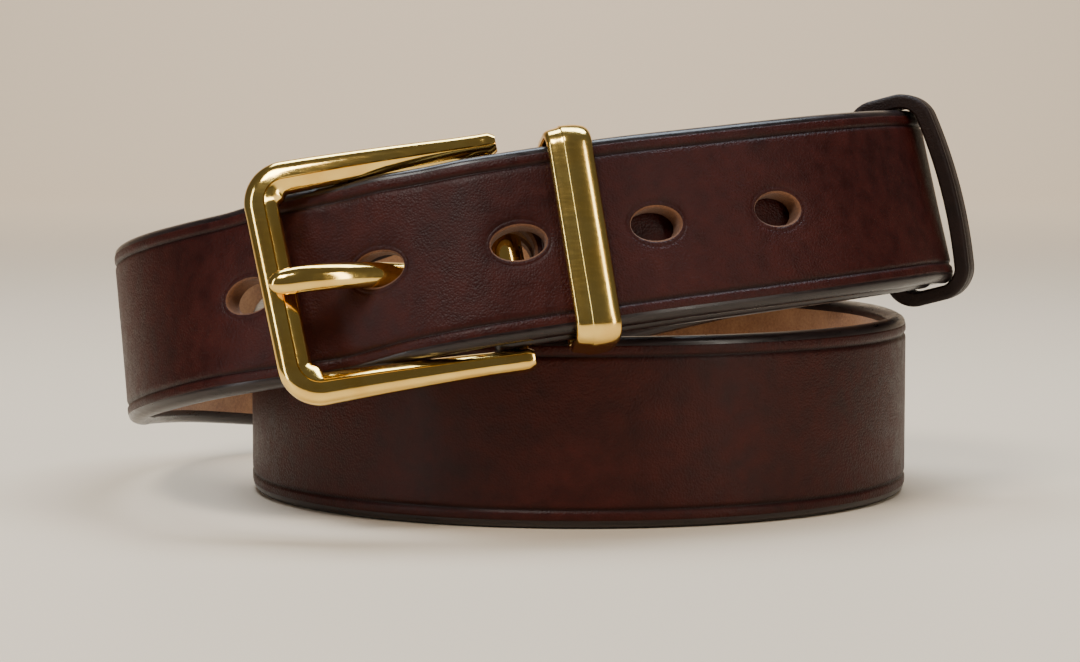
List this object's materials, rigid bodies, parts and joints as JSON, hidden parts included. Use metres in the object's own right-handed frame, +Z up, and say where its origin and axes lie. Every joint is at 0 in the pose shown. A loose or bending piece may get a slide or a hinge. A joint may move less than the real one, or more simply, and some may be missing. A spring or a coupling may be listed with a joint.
{
  "type": "leather dress belt",
  "caption": "Coiled dark leather dress belt, fastened, with a brass frame buckle, a brass loop and a leather keeper.",
  "frame": {"origin": "centre of the bounding box in plan, at the height of the lowest edge the coiled belt rests on", "axes": "+X along the longer side of the coil, from the buckle's front bar side towards the leather keeper; +Y from the buckled front to the back; +Z up"},
  "size_m": [0.1716, 0.1484, 0.0789],
  "materials": {
    "bridle_leather": "waxed satin, burnished edges, natural tan flesh side",
    "cast_brass": "polished",
    "tongue_brass": "polished",
    "loop_brass": "polished",
    "keeper_leather": "waxed satin",
    "waxed_thread": "matt waxed linen",
    "staple_wire": "plain drawn wire"
  },
  "bodies": {
    "strap": {"strap": "bridle_leather", "buckle_side_needle_thread": "waxed_thread", "buckle_side_bobbin_thread": "waxed_thread", "loop_side_needle_thread": "waxed_thread", "loop_side_bobbin_thread": "waxed_thread"},
    "buckle_frame": {"buckle_frame": "cast_brass"},
    "buckle_tongue": {"buckle_tongue": "tongue_brass"},
    "brass_loop": {"brass_loop": "loop_brass"},
    "leather_keeper": {"leather_keeper": "keeper_leather", "keeper_staple": "staple_wire"}
  },
  "joints": [
    {"name": "frame_swing", "type": "hinge", "parent": "strap", "child": "buckle_frame", "pos_m": [-0.00729, -0.0595, 0.04917], "axis": [-0.1762, 0.324, 0.9295], "range_deg": [0, 2]},
    {"name": "tongue_swing", "type": "hinge", "parent": "buckle_frame", "child": "buckle_tongue", "pos_m": [-0.00729, -0.0595, 0.04917], "axis": [-0.1762, 0.324, 0.9295], "range_deg": [0, 1]},
    {"name": "brass_loop_slide", "type": "slide", "parent": "strap", "child": "brass_loop", "axis": [0.9755, 0.2, 0.0916], "range_m": [-0.0006, 0.0009]},
    {"name": "keeper_slide_round_bend", "type": "hinge", "parent": "strap", "child": "leather_keeper", "pos_m": [0.02617, 0.00527, 0.0521], "axis": [-0.1059, 0.0515, 0.993], "range_deg": [-3, 4]}
  ]
}
